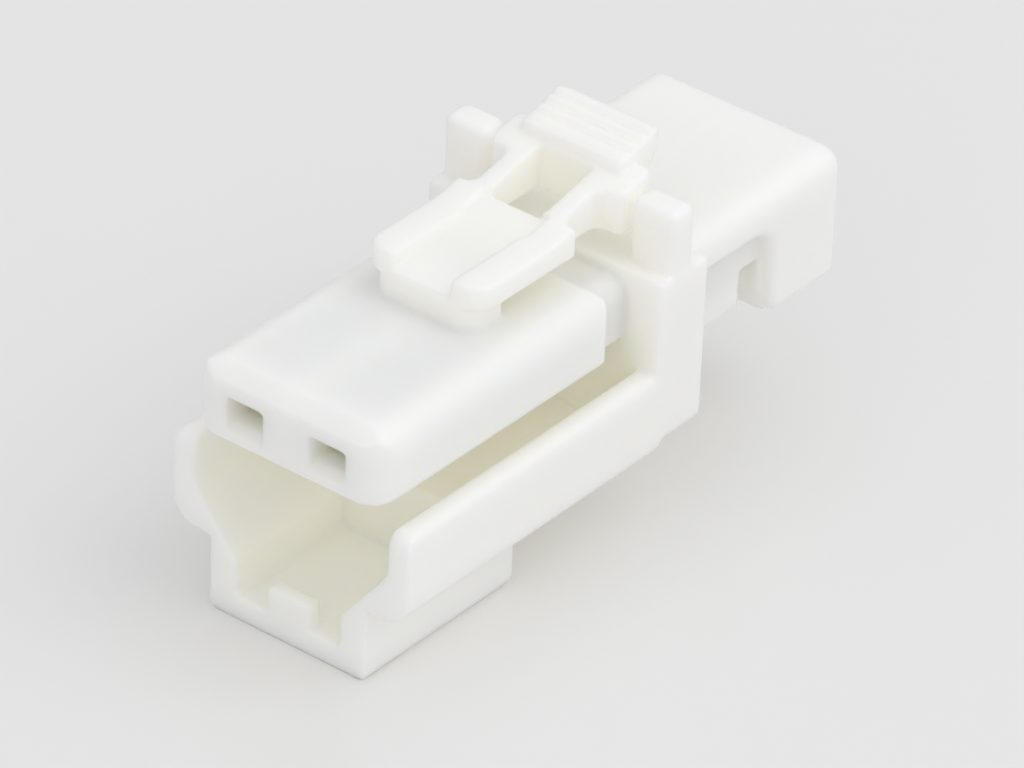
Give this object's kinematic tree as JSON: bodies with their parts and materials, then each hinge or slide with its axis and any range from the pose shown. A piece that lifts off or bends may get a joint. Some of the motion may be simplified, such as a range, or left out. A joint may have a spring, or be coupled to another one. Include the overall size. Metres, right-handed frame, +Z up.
{
  "type": "wire to board connector housing",
  "caption": "Moulded plug housing: flat nose with pin openings above an open hood and keel, a springing latch arm with a grooved thumb pad between guards, and a wire end behind a collar.",
  "frame": {"origin": "on the surface the housing rests on, below the middle of its length and width", "axes": "+X across the contacts, +Y from the mating end to the wire end, +Z up through the latch"},
  "size_m": [0.0072, 0.0176, 0.0097],
  "materials": {
    "nylon": "natural milky white nylon, slightly translucent, satin"
  },
  "bodies": {
    "root": {"housing": "nylon"}
  },
  "joints": []
}
